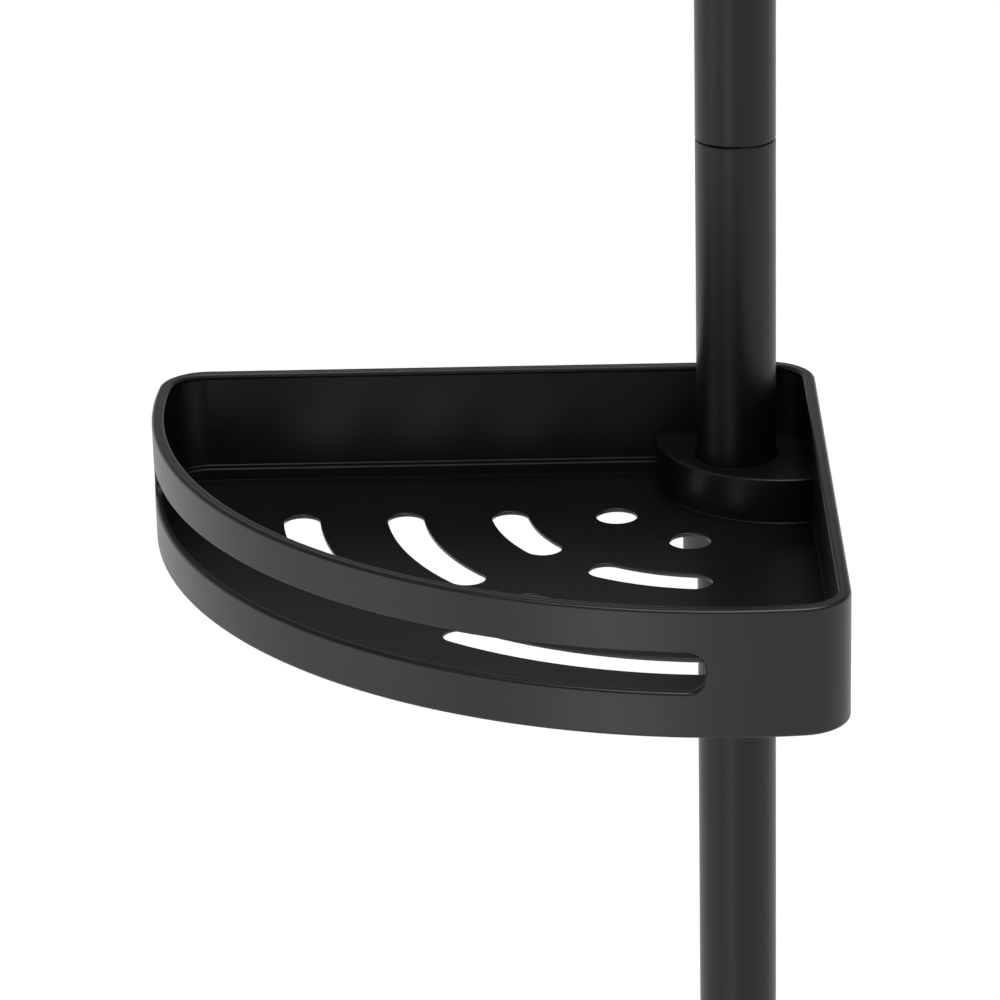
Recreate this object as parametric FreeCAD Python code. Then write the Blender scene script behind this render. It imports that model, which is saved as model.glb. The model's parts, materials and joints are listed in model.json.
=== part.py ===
"""Corner tension-pole shower caddy, in millimetres.

A black steel pole in screwed sections stands between a floor and a ceiling. Its top section
is a thinner tube that a spring pushes upwards. Three quarter-round moulded trays sit in the
corner side of the pole, each wedged on a split tapered sleeve that grips the pole.

The origin is on the pole's axis at the underside of the floor pad, and +Z runs up the pole.
Each tray's two straight walls face +X and +Y, and its round front faces -X -Y.
"""
import FreeCAD
import Part

import math
import os

# ---------------------------------------------------------------------------------------
# Driving dimensions
# ---------------------------------------------------------------------------------------

# Clearances
PRESS_GAP = 0.05            # radial gap of pieces pressed together in one body
RUNNING_GAP = 0.08          # radial gap of pieces that slide or turn on each other
FREE_GAP = 0.5              # gap of pieces that pass each other without guiding
END_GAP = 0.1               # gap between faces that turn over each other

# Pole
POLE_DIAMETER = 25.0
TUBE_WALL = 1.0
SECTION_LENGTH = 480.0
SECTION_NAMES = ("lower", "middle", "upper")
TUBE_END_ROUND = 0.4        # rounding of a cut tube end

# Screwed joint inside the pole
JOINT_DEPTH = 30.0          # depth of each insert in its tube
STUD_DIAMETER = 16.0
STUD_LENGTH = 24.0
STUD_PITCH = 2.0
STUD_THREAD_DEPTH = 1.0
STUD_GAP = 0.15

# Sprung top section
TOP_TUBE_EXPOSED = 170.0    # bare length between the guide bush and the ceiling cup
TOP_TRAVEL = 45.0           # how far the top tube presses in against the spring
BUSH_WALL = 1.87            # plastic between the upper tube's bore and the top tube
BUSH_DEPTH = 34.0
BUSH_FLANGE_HEIGHT = 7.0
BUSH_FLANGE_LIP = 1.4       # how far the flange stands out past the tube
BUSH_EDGE_ROUND = 1.0
FOLLOWER_HEIGHT = 16.0
FOLLOWER_SPIGOT = 24.0
FOLLOWER_CHAMFER = 1.0
SPRING_SOLID_SPARE = 60.0   # extra spring length beyond its closed length and the travel
SPRING_WIRE = 1.8
SPRING_SIDE_GAP = 0.9       # gap between the coil and the tube around it
SPRING_TURNS = 16
SEAT_HEIGHT = 14.0
SEAT_SPIGOT = 10.0
SEAT_SPIGOT_TAPER = 1.0

# Pads and cups at both ends of the pole
PAD_DIAMETER = 66.0
PAD_FLOOR = 5.0             # rubber between the cup and the floor
PAD_LIP_HEIGHT = 3.5
PAD_LIP_WALL = 4.0
PAD_EDGE_ROUND = 1.5
PAD_GROOVE_WIDTH = 2.5
PAD_GROOVE_DEPTH = 1.2
PAD_GROOVE_RADII = (12.0, 19.0, 26.0)
CUP_FLANGE_HEIGHT = 4.0
CUP_CONE_HEIGHT = 16.0
CUP_COLLAR_HEIGHT = 16.0
CUP_WALL = 4.0
CUP_EDGE_ROUND = 1.2

# Trays
TRAY_BELOW_JOINT = 121.0    # from a tray's lower edge up to the end of its pole section
TRAY_HEIGHT = 39.0
TRAY_WALL = 2.5
WALL_FACE_OFFSET = 25.3     # from the pole's axis to the outer face of each straight wall
FRONT_RADIUS = 178.0
FRONT_INSET = 30.3          # from each straight wall's outer face to the front arc's centre
BACK_CORNER_RADIUS = 16.0
SIDE_CORNER_RADIUS = 15.0
RIM_WIDTH = 3.9
RIM_DEPTH = 1.6             # straight height of the rim's inner face
RIM_EDGE_ROUND = 1.1
RIM_UNDERCUT_ROUND = 1.3    # concave round where the bead swells out of the wall
FLOOR_TOP = 2.7
FLOOR_THICKNESS = 1.3
PLINTH_WIDTH = 0.9          # how far the foot ledge stands in from the wall
PLINTH_HEIGHT = 3.7
PLINTH_STEP_WIDTH = 0.4
PLINTH_STEP_HEIGHT = 1.2

# Slot through each tray's front wall
SLOT_BOTTOM = 14.0
SLOT_TOP = 25.7
SLOT_CORNER_RADIUS = 5.5
SLOT_HALF_ANGLE = 41.4      # degrees each side of the tray's diagonal

# Drain openings: one round hole and three arcs on each side of the diagonal
DRAIN_WIDTH = 11.4
DRAIN_HOLE_DIAMETER = 12.8
DRAIN_FIRST_RADIUS = 35.0   # radius of the row of round holes about the front arc's centre
DRAIN_ROW_PITCH = 32.5
DRAIN_ROW_COUNT = 4
DRAIN_SIDE_LINE = 16.0      # from the pole's axis to the arcs' outer ends
DRAIN_RIB_HALF = 13.7       # from the diagonal to the arcs' inner ends
DRAIN_OUTER_RIB_HALF = 17.2

# Corner boss that houses the sleeve
BOSS_RADIUS = 40.0
BOSS_CENTRE = 15.0          # x and y of the boss arc's centre
BOSS_TOP = 17.1
BOSS_WALL = 2.5
BOSS_EMBED = 1.25           # how far the boss runs into the tray's two straight walls
BOSS_EDGE_ROUND = 0.6
HUB_WALL = 2.8
HUB_RIB_THICKNESS = 2.0

# Split sleeve
SLEEVE_COLLAR_WALL = 4.42
SLEEVE_COLLAR_HEIGHT = 21.1
SLEEVE_BASE_WALL = 2.62     # wall of the cone where it meets the collar
SLEEVE_TIP_WALL = 1.42      # wall of the cone at its top
SLEEVE_HEAD_ROOM = 0.6      # gap between the cone's top and the boss's roof
SLEEVE_SPLIT = 0.6          # gap between the two halves
SLEEVE_CHAMFER = 1.0
SLEEVE_PEG_DIAMETER = 2.2
SLEEVE_PEG_LENGTH = 3.0

# ---------------------------------------------------------------------------------------
# Sizes worked out from the driving dimensions
# ---------------------------------------------------------------------------------------

POLE_RADIUS = POLE_DIAMETER / 2
TUBE_BORE_RADIUS = POLE_RADIUS - TUBE_WALL
INSERT_RADIUS = TUBE_BORE_RADIUS - PRESS_GAP
TOP_TUBE_RADIUS = INSERT_RADIUS - BUSH_WALL - RUNNING_GAP
TOP_TUBE_BORE_RADIUS = TOP_TUBE_RADIUS - TUBE_WALL
POLE_FOOT = PAD_FLOOR + CUP_FLANGE_HEIGHT
POLE_TOP = POLE_FOOT + len(SECTION_NAMES) * SECTION_LENGTH
BUSH_TOP = POLE_TOP + BUSH_FLANGE_HEIGHT
BUSH_FOOT = POLE_TOP - BUSH_DEPTH
FOLLOWER_TOP = BUSH_FOOT
FOLLOWER_FOOT = FOLLOWER_TOP - FOLLOWER_HEIGHT
SPRING_LENGTH = SPRING_TURNS * SPRING_WIRE + TOP_TRAVEL + SPRING_SOLID_SPARE
SEAT_TOP = FOLLOWER_FOOT - SPRING_LENGTH
CUP_HEIGHT = CUP_FLANGE_HEIGHT + CUP_CONE_HEIGHT + CUP_COLLAR_HEIGHT
TOP_TUBE_END = BUSH_TOP + TOP_TUBE_EXPOSED + CUP_HEIGHT - CUP_FLANGE_HEIGHT
OBJECT_HEIGHT = TOP_TUBE_END + CUP_FLANGE_HEIGHT + PAD_FLOOR
ARC_CENTRE = WALL_FACE_OFFSET - FRONT_INSET
FLOOR_UNDERSIDE = FLOOR_TOP - FLOOR_THICKNESS
DRAIN_TOOL_TOP = FLOOR_TOP + FREE_GAP
SLEEVE_BORE_RADIUS = POLE_RADIUS + RUNNING_GAP
SLEEVE_COLLAR_RADIUS = SLEEVE_BORE_RADIUS + SLEEVE_COLLAR_WALL
SLEEVE_BASE_RADIUS = SLEEVE_BORE_RADIUS + SLEEVE_BASE_WALL
SLEEVE_TIP_RADIUS = SLEEVE_BORE_RADIUS + SLEEVE_TIP_WALL
SLEEVE_SHOULDER = FLOOR_UNDERSIDE - END_GAP
SLEEVE_CONE_TOP = BOSS_TOP - BOSS_WALL - SLEEVE_HEAD_ROOM
HUB_RADIUS = SLEEVE_BASE_RADIUS + RUNNING_GAP + HUB_WALL
UP = FreeCAD.Vector(0, 0, 1)


# ---------------------------------------------------------------------------------------
# Shape helpers
# ---------------------------------------------------------------------------------------

def cylinder(radius, z_low, z_high, x=0.0, y=0.0):
    """A disc or rod of the given radius from z_low to z_high about a vertical axis."""
    return Part.makeCylinder(radius, z_high - z_low, FreeCAD.Vector(x, y, z_low), UP)


def cone(radius_low, radius_high, z_low, z_high):
    """A vertical cone on the pole's axis."""
    return Part.makeCone(radius_low, radius_high, z_high - z_low, FreeCAD.Vector(0, 0, z_low), UP)


def turned(profile):
    """A solid turned about the pole's axis from a closed profile of (radius, z) points."""
    points = [FreeCAD.Vector(radius, 0, z) for radius, z in profile]
    face = Part.Face(Part.makePolygon(points + points[:1]))
    return face.revolve(FreeCAD.Vector(0, 0, 0), UP, 360)


def block(x_low, x_high, y_low, y_high, z_low, z_high):
    """A rectangular block between two corners."""
    corner = FreeCAD.Vector(x_low, y_low, z_low)
    return Part.makeBox(x_high - x_low, y_high - y_low, z_high - z_low, corner)


def polar(radius, angle, centre):
    """The plan point at a radius and an angle in degrees about (centre, centre)."""
    turn = math.radians(angle)
    return centre + radius * math.cos(turn), centre + radius * math.sin(turn)


def circle_edges(shape, radius, z):
    """The circular edges of a turned shape that have the given radius and height."""
    found = []
    for edge in shape.Edges:
        curve = edge.Curve
        if isinstance(curve, Part.Circle):
            if abs(curve.Radius - radius) < 1e-6 and abs(curve.Center.z - z) < 1e-6:
                found.append(edge)
    return found


def level_edges(shape, z):
    """The edges of a shape that lie wholly at one height."""
    found = []
    for edge in shape.Edges:
        box = edge.BoundBox
        if abs(box.ZMin - z) < 1e-5 and abs(box.ZMax - z) < 1e-5:
            found.append(edge)
    return found


def upright_edges(shape, z_low, z_high):
    """The vertical edges of a prism that run from z_low to z_high."""
    found = []
    for edge in shape.Edges:
        box = edge.BoundBox
        if abs(box.ZMin - z_low) < 1e-5 and abs(box.ZMax - z_high) < 1e-5:
            if box.XLength < 1e-4 and box.YLength < 1e-4:
                found.append(edge)
    return found


def flipped(shape, height):
    """The shape turned upside down, so that z becomes height - z."""
    copy = shape.copy()
    copy.rotate(FreeCAD.Vector(0, 0, 0), FreeCAD.Vector(1, 0, 0), 180)
    copy.translate(FreeCAD.Vector(0, 0, height))
    return copy


# ---------------------------------------------------------------------------------------
# Pole
# ---------------------------------------------------------------------------------------

def tube(outer_radius, z_low, z_high):
    """A straight tube with its two cut ends rounded on the outside."""
    outer = cylinder(outer_radius, z_low, z_high)
    rounded = circle_edges(outer, outer_radius, z_low) + circle_edges(outer, outer_radius, z_high)
    outer = outer.makeFillet(TUBE_END_ROUND, rounded)
    return outer.cut(cylinder(outer_radius - TUBE_WALL, z_low, z_high))


def pole_section(number):
    """One screwed section of the pole, counted from 0 at the floor."""
    z_low = POLE_FOOT + number * SECTION_LENGTH
    return tube(POLE_RADIUS, z_low, z_low + SECTION_LENGTH)


def joint_stud(number):
    """The insert in the top of a section, with the ridged stud that screws into the next."""
    seam = POLE_FOOT + (number + 1) * SECTION_LENGTH
    crest = STUD_DIAMETER / 2
    root = crest - STUD_THREAD_DEPTH
    profile = [(0, seam - JOINT_DEPTH), (INSERT_RADIUS, seam - JOINT_DEPTH), (INSERT_RADIUS, seam)]
    ridges = int(STUD_LENGTH // STUD_PITCH)
    for ridge in range(ridges):
        z_low = seam + ridge * STUD_PITCH
        profile.append((root, z_low))
        profile.append((crest, z_low + STUD_PITCH / 2))
    profile.append((root, seam + ridges * STUD_PITCH))
    profile.append((0, seam + ridges * STUD_PITCH))
    return turned(profile)


def joint_socket(number):
    """The insert in the bottom of the next section, which the stud screws into."""
    seam = POLE_FOOT + (number + 1) * SECTION_LENGTH
    body = cylinder(INSERT_RADIUS, seam, seam + JOINT_DEPTH)
    bore_top = seam + STUD_LENGTH + END_GAP
    return body.cut(cylinder(STUD_DIAMETER / 2 + STUD_GAP, seam, bore_top))


def guide_bush():
    """The plastic bush in the mouth of the upper section that guides the sprung tube."""
    flange_radius = POLE_RADIUS + BUSH_FLANGE_LIP
    flange = cylinder(flange_radius, POLE_TOP, BUSH_TOP)
    flange = flange.makeFillet(BUSH_EDGE_ROUND, circle_edges(flange, flange_radius, BUSH_TOP))
    bush = flange.fuse(cylinder(INSERT_RADIUS, BUSH_FOOT, POLE_TOP))
    return bush.cut(cylinder(TOP_TUBE_RADIUS + RUNNING_GAP, BUSH_FOOT, BUSH_TOP))


def spring_seat():
    """The fixed plug inside the upper section that the spring stands on."""
    plug = cylinder(INSERT_RADIUS, SEAT_TOP - SEAT_HEIGHT, SEAT_TOP)
    foot_radius = spring_mean_radius() - SPRING_WIRE / 2 - FREE_GAP
    tip_radius = foot_radius - SEAT_SPIGOT_TAPER
    return plug.fuse(cone(foot_radius, tip_radius, SEAT_TOP, SEAT_TOP + SEAT_SPIGOT))


def spring_mean_radius():
    """The radius of the spring's wire centre line."""
    return TUBE_BORE_RADIUS - SPRING_SIDE_GAP - SPRING_WIRE / 2


def tension_spring():
    """The compression spring that pushes the top tube up, a round wire on a helix."""
    radius = spring_mean_radius()
    length = SPRING_LENGTH - SPRING_WIRE
    helix = Part.makeHelix(length / SPRING_TURNS, length, radius)
    wire_circle = Part.Circle(FreeCAD.Vector(radius, 0, 0), FreeCAD.Vector(0, 1, 0), SPRING_WIRE / 2)
    section = Part.Wire(wire_circle.toShape())
    coil = Part.Wire(helix).makePipeShell([section], True, True)
    coil.translate(FreeCAD.Vector(0, 0, SEAT_TOP + SPRING_WIRE / 2))
    return coil


def spring_follower():
    """The sliding piston on the bottom of the top tube, which the spring pushes up."""
    radius = TUBE_BORE_RADIUS - RUNNING_GAP
    head = cylinder(radius, FOLLOWER_FOOT, FOLLOWER_TOP)
    head = head.makeChamfer(FOLLOWER_CHAMFER, circle_edges(head, radius, FOLLOWER_FOOT))
    spigot = cylinder(TOP_TUBE_BORE_RADIUS - PRESS_GAP, FOLLOWER_TOP, FOLLOWER_TOP + FOLLOWER_SPIGOT)
    return head.fuse(spigot)


def top_tube():
    """The thin tube that slides out of the pole and carries the ceiling cup."""
    return tube(TOP_TUBE_RADIUS, FOLLOWER_TOP, TOP_TUBE_END)


# ---------------------------------------------------------------------------------------
# Pads and cups
# ---------------------------------------------------------------------------------------

def rubber_pad():
    """A rubber pad lying on z = 0, with a lip round the cup and grip grooves underneath."""
    radius = PAD_DIAMETER / 2
    height = PAD_FLOOR + PAD_LIP_HEIGHT
    pad = cylinder(radius, 0, height)
    pad = pad.makeFillet(PAD_EDGE_ROUND, circle_edges(pad, radius, height))
    pad = pad.cut(cylinder(radius - PAD_LIP_WALL, PAD_FLOOR, height))
    for groove in PAD_GROOVE_RADII:
        ring = cylinder(groove + PAD_GROOVE_WIDTH / 2, 0, PAD_GROOVE_DEPTH)
        pad = pad.cut(ring.cut(cylinder(groove - PAD_GROOVE_WIDTH / 2, 0, PAD_GROOVE_DEPTH)))
    return pad


def end_cup(tube_radius):
    """The cup that stands in a rubber pad and holds the end of a tube of the given radius."""
    flange_radius = PAD_DIAMETER / 2 - PAD_LIP_WALL - PRESS_GAP
    collar_radius = tube_radius + CUP_WALL
    cone_foot = PAD_FLOOR + CUP_FLANGE_HEIGHT
    collar_foot = cone_foot + CUP_CONE_HEIGHT
    top = collar_foot + CUP_COLLAR_HEIGHT
    cup = cylinder(flange_radius, PAD_FLOOR, cone_foot)
    cup = cup.fuse(cone(flange_radius - CUP_EDGE_ROUND, collar_radius, cone_foot, collar_foot))
    cup = cup.fuse(cylinder(collar_radius, collar_foot, top))
    cup = cup.makeFillet(CUP_EDGE_ROUND, circle_edges(cup, collar_radius, top))
    return cup.cut(cylinder(tube_radius + PRESS_GAP, cone_foot, top))


# ---------------------------------------------------------------------------------------
# Trays, modelled with the tray's lower edge at z = 0
# ---------------------------------------------------------------------------------------

def quarter_prism(inset, z_low, z_high):
    """The tray's plan outline, moved inwards by an inset, as an upright prism.

    The outline is the part of the front arc's disc that lies behind both straight walls,
    with its back corner and its two side corners rounded.
    """
    wall = WALL_FACE_OFFSET - inset
    radius = FRONT_RADIUS - inset
    far = wall - 2 * radius
    disc = cylinder(radius, z_low, z_high, ARC_CENTRE, ARC_CENTRE)
    prism = disc.common(block(far, wall, far, wall, z_low, z_high))
    back = []
    sides = []
    for edge in upright_edges(prism, z_low, z_high):
        point = edge.Vertexes[0].Point
        if abs(point.x - wall) < 1e-4 and abs(point.y - wall) < 1e-4:
            back.append(edge)
        elif abs(point.x - wall) < 1e-4 or abs(point.y - wall) < 1e-4:
            sides.append(edge)
    prism = prism.makeFillet(BACK_CORNER_RADIUS - inset, back)
    side_ends = []
    for edge in sides:
        side_ends.append(edge.Vertexes[0].Point)
    matching = []
    for edge in upright_edges(prism, z_low, z_high):
        point = edge.Vertexes[0].Point
        for end in side_ends:
            if math.hypot(point.x - end.x, point.y - end.y) < 1e-4:
                matching.append(edge)
    return prism.makeFillet(SIDE_CORNER_RADIUS - inset, matching)


def tray_hollow():
    """The space inside a tray: narrow at the rim, wide in the wall, stepped in at the floor."""
    step_low = FLOOR_TOP + PLINTH_HEIGHT
    step_high = step_low + PLINTH_STEP_HEIGHT
    bead_foot = TRAY_HEIGHT - RIM_DEPTH
    mouth = quarter_prism(RIM_WIDTH, bead_foot - RIM_DEPTH, TRAY_HEIGHT)
    middle = quarter_prism(TRAY_WALL, step_high, bead_foot)
    middle = middle.makeFillet(RIM_UNDERCUT_ROUND, level_edges(middle, bead_foot))
    step = quarter_prism(TRAY_WALL + PLINTH_STEP_WIDTH, step_low, step_high)
    plinth = quarter_prism(TRAY_WALL + PLINTH_WIDTH, FLOOR_TOP, step_low)
    return mouth.fuse([middle, step, plinth])


def front_slot():
    """The tool that cuts the long slot with rounded ends through the front wall."""
    outer = cylinder(FRONT_RADIUS + RIM_WIDTH, SLOT_BOTTOM, SLOT_TOP, ARC_CENTRE, ARC_CENTRE)
    inner = cylinder(FRONT_RADIUS - 2 * RIM_WIDTH, SLOT_BOTTOM, SLOT_TOP, ARC_CENTRE, ARC_CENTRE)
    reach = 2 * FRONT_RADIUS
    corners = [(ARC_CENTRE, ARC_CENTRE)]
    for angle in (225 - SLOT_HALF_ANGLE, 225, 225 + SLOT_HALF_ANGLE):
        corners.append(polar(reach, angle, ARC_CENTRE))
    points = [FreeCAD.Vector(x, y, SLOT_BOTTOM) for x, y in corners]
    wedge_face = Part.Face(Part.makePolygon(points + points[:1]))
    wedge = wedge_face.extrude(FreeCAD.Vector(0, 0, SLOT_TOP - SLOT_BOTTOM))
    tool = outer.cut(inner).common(wedge)
    ends = []
    for edge in tool.Edges:
        if isinstance(edge.Curve, Part.Line) and edge.BoundBox.ZLength < 1e-5:
            ends.append(edge)
    return tool.makeFillet(SLOT_CORNER_RADIUS, ends)


def drain_arc(radius, start_angle, end_angle):
    """A cutting tool for one curved drain slot with round ends, about the front arc's centre."""
    half = DRAIN_WIDTH / 2
    outer_start = FreeCAD.Vector(*polar(radius + half, start_angle, ARC_CENTRE), 0)
    outer_end = FreeCAD.Vector(*polar(radius + half, end_angle, ARC_CENTRE), 0)
    inner_start = FreeCAD.Vector(*polar(radius - half, start_angle, ARC_CENTRE), 0)
    inner_end = FreeCAD.Vector(*polar(radius - half, end_angle, ARC_CENTRE), 0)
    middle_angle = (start_angle + end_angle) / 2
    outer_middle = FreeCAD.Vector(*polar(radius + half, middle_angle, ARC_CENTRE), 0)
    inner_middle = FreeCAD.Vector(*polar(radius - half, middle_angle, ARC_CENTRE), 0)
    overrun = math.degrees(half / radius)
    start_tip = FreeCAD.Vector(*polar(radius, start_angle - overrun, ARC_CENTRE), 0)
    end_tip = FreeCAD.Vector(*polar(radius, end_angle + overrun, ARC_CENTRE), 0)
    edges = [
        Part.Arc(outer_start, outer_middle, outer_end).toShape(),
        Part.Arc(outer_end, end_tip, inner_end).toShape(),
        Part.Arc(inner_end, inner_middle, inner_start).toShape(),
        Part.Arc(inner_start, start_tip, outer_start).toShape(),
    ]
    return Part.Face(Part.Wire(edges)).extrude(FreeCAD.Vector(0, 0, DRAIN_TOOL_TOP))


def mirrored_in_diagonal(shape):
    """The shape with x and y exchanged."""
    return shape.mirror(FreeCAD.Vector(0, 0, 0), FreeCAD.Vector(1, -1, 0))


def drains():
    """All drain openings of a tray: rows about the front arc's centre, on both sides."""
    tools = []
    side_drop = DRAIN_SIDE_LINE + ARC_CENTRE
    for row in range(DRAIN_ROW_COUNT):
        radius = DRAIN_FIRST_RADIUS + row * DRAIN_ROW_PITCH
        first_angle = 180 + math.degrees(math.asin(side_drop / radius))
        if row == 0:
            x, y = polar(radius, first_angle, ARC_CENTRE)
            tools.append(cylinder(DRAIN_HOLE_DIAMETER / 2, 0, DRAIN_TOOL_TOP, x, y))
        else:
            outermost = row == DRAIN_ROW_COUNT - 1
            rib = DRAIN_OUTER_RIB_HALF if outermost else DRAIN_RIB_HALF
            last_angle = 225 - math.degrees(math.asin(rib / radius))
            tools.append(drain_arc(radius, first_angle, last_angle))
    return tools + [mirrored_in_diagonal(tool) for tool in tools]


def boss_prism(inset, z_low, z_high):
    """The corner boss's outline as a prism: a large arc about a point near the corner."""
    arc = cylinder(BOSS_RADIUS - inset, z_low, z_high, BOSS_CENTRE, BOSS_CENTRE)
    return arc.common(quarter_prism(TRAY_WALL - BOSS_EMBED + inset, z_low, z_high))


def boss_cavity():
    """The space cored out under the boss, round the hub and between its ribs."""
    roof = BOSS_TOP - BOSS_WALL
    cavity = boss_prism(BOSS_WALL, 0, roof)
    cavity = cavity.cut(cylinder(HUB_RADIUS, 0, roof))
    half_rib = HUB_RIB_THICKNESS / 2
    for angle in (45, 135, 225, 315):
        rib = block(0, 2 * BOSS_RADIUS, -half_rib, half_rib, FLOOR_UNDERSIDE, roof)
        rib.rotate(FreeCAD.Vector(0, 0, 0), UP, angle)
        cavity = cavity.cut(rib)
    return cavity


def sleeve_socket():
    """The tapered socket in the hub: the sleeve's cone carried on at the same slope, plus a gap."""
    roof = BOSS_TOP - BOSS_WALL
    narrowing = SLEEVE_BASE_RADIUS - SLEEVE_TIP_RADIUS
    slope = narrowing / (SLEEVE_CONE_TOP - SLEEVE_SHOULDER)
    start_radius = SLEEVE_BASE_RADIUS + RUNNING_GAP
    mouth_radius = start_radius - slope * (FLOOR_UNDERSIDE - SLEEVE_SHOULDER)
    roof_radius = start_radius - slope * (roof - SLEEVE_SHOULDER)
    return cone(mouth_radius, roof_radius, FLOOR_UNDERSIDE, roof)


def tray():
    """A moulded tray: stepped walls with a bead rim, a drained floor and the corner boss."""
    shell = quarter_prism(0, 0, TRAY_HEIGHT)
    rim_edges = level_edges(shell, TRAY_HEIGHT)
    shell = shell.makeFillet(RIM_EDGE_ROUND, rim_edges + level_edges(shell, 0))
    shell = shell.cut(tray_hollow())
    shell = shell.cut(front_slot())
    shell = shell.cut(quarter_prism(TRAY_WALL, 0, FLOOR_UNDERSIDE))
    boss = boss_prism(0, FLOOR_UNDERSIDE, BOSS_TOP)
    boss = boss.makeFillet(BOSS_EDGE_ROUND, circle_edges(boss, BOSS_RADIUS, BOSS_TOP))
    shell = shell.fuse(boss)
    for tool in drains():
        shell = shell.cut(tool)
    shell = shell.cut(boss_cavity())
    shell = shell.cut(sleeve_socket())
    shell = shell.cut(cylinder(POLE_RADIUS + FREE_GAP, BOSS_TOP - BOSS_WALL, BOSS_TOP))
    return shell.removeSplitter()


# ---------------------------------------------------------------------------------------
# Split sleeve, modelled with the tray's lower edge at z = 0
# ---------------------------------------------------------------------------------------

def sleeve():
    """The whole sleeve before it is split: a collar below the tray and a cone inside it."""
    foot = SLEEVE_SHOULDER - SLEEVE_COLLAR_HEIGHT
    collar = cylinder(SLEEVE_COLLAR_RADIUS, foot, SLEEVE_SHOULDER)
    collar = collar.makeChamfer(SLEEVE_CHAMFER, circle_edges(collar, SLEEVE_COLLAR_RADIUS, foot))
    taper = cone(SLEEVE_BASE_RADIUS, SLEEVE_TIP_RADIUS, SLEEVE_SHOULDER, SLEEVE_CONE_TOP)
    return collar.fuse(taper).cut(cylinder(SLEEVE_BORE_RADIUS, foot, SLEEVE_CONE_TOP))


def sleeve_half(side):
    """One half of the sleeve: side -1 is the -X half with the pegs, side 1 the +X half."""
    reach = 2 * SLEEVE_COLLAR_RADIUS
    half_gap = SLEEVE_SPLIT / 2
    foot = SLEEVE_SHOULDER - SLEEVE_COLLAR_HEIGHT
    if side < 0:
        keep = block(-reach, -half_gap, -reach, reach, foot, SLEEVE_CONE_TOP)
    else:
        keep = block(half_gap, reach, -reach, reach, foot, SLEEVE_CONE_TOP)
    half = sleeve().common(keep)
    peg_y = (SLEEVE_BORE_RADIUS + SLEEVE_COLLAR_RADIUS) / 2
    peg_z = SLEEVE_SHOULDER - SLEEVE_COLLAR_HEIGHT / 2
    for y in (-peg_y, peg_y):
        start = FreeCAD.Vector(-half_gap, y, peg_z)
        along = FreeCAD.Vector(1, 0, 0)
        if side < 0:
            peg = Part.makeCylinder(SLEEVE_PEG_DIAMETER / 2, SLEEVE_PEG_LENGTH, start, along)
            half = half.fuse(peg)
        else:
            hole_radius = SLEEVE_PEG_DIAMETER / 2 + PRESS_GAP
            hole = Part.makeCylinder(hole_radius, SLEEVE_PEG_LENGTH + FREE_GAP, start, along)
            half = half.cut(hole)
    return half


# ---------------------------------------------------------------------------------------
# Assembly
# ---------------------------------------------------------------------------------------

def tray_level(number):
    """The height of a tray's lower edge, with the trays counted from 1 at the bottom."""
    return POLE_FOOT + number * SECTION_LENGTH - TRAY_BELOW_JOINT


def raised(shape, height):
    """A copy of the shape lifted by a height."""
    copy = shape.copy()
    copy.translate(FreeCAD.Vector(0, 0, height))
    return copy


def all_pieces():
    """Every piece of the caddy in its place, by name."""
    pieces = {
        "floor_pad": rubber_pad(),
        "foot_cup": end_cup(POLE_RADIUS),
    }
    for number, name in enumerate(SECTION_NAMES):
        pieces[name + "_tube"] = pole_section(number)
    for number, name in enumerate(SECTION_NAMES[:-1]):
        pieces[name + "_tube_stud"] = joint_stud(number)
        pieces[SECTION_NAMES[number + 1] + "_tube_socket"] = joint_socket(number)
    pieces["guide_bush"] = guide_bush()
    pieces["spring_seat"] = spring_seat()
    pieces["tension_spring"] = tension_spring()
    pieces["spring_follower"] = spring_follower()
    pieces["top_tube"] = top_tube()
    pieces["ceiling_cup"] = flipped(end_cup(TOP_TUBE_RADIUS), OBJECT_HEIGHT)
    pieces["ceiling_pad"] = flipped(rubber_pad(), OBJECT_HEIGHT)
    moulded_tray = tray()
    left_half = sleeve_half(-1)
    right_half = sleeve_half(1)
    for number in range(1, len(SECTION_NAMES) + 1):
        level = tray_level(number)
        pieces["tray_%d" % number] = raised(moulded_tray, level)
        pieces["sleeve_%d_left" % number] = raised(left_half, level)
        pieces["sleeve_%d_right" % number] = raised(right_half, level)
    return pieces


def main():
    """Write each piece as a STEP file and print its solids, volume and box."""
    os.makedirs("parts", exist_ok=True)
    for name, shape in all_pieces().items():
        shape.exportStep("parts/%s.step" % name)
        box = shape.BoundBox
        low = "(%.1f %.1f %.1f)" % (box.XMin, box.YMin, box.ZMin)
        high = "(%.1f %.1f %.1f)" % (box.XMax, box.YMax, box.ZMax)
        print(name, len(shape.Solids), shape.isValid(), "%.1f" % shape.Volume, low, high)
    print("height", OBJECT_HEIGHT)


main()
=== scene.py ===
# %% [markdown]
# # A corner shower caddy on a tension pole
#
# The caddy is a black steel pole that a spring jams between a floor and a ceiling, with three
# moulded quarter-round trays wedged on it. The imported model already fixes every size, place
# and joint. This lesson gives each of its pieces a finer surface in the same place: rounded
# edges, real screw threads, softened openings, and a finish for each material.
#
# Lengths are in metres. The origin is on the pole's axis at the floor, and +Z runs up the pole.

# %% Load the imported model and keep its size
import json
import math

import bmesh
import bpy
import numpy as np
from mathutils import Matrix, Vector


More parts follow.
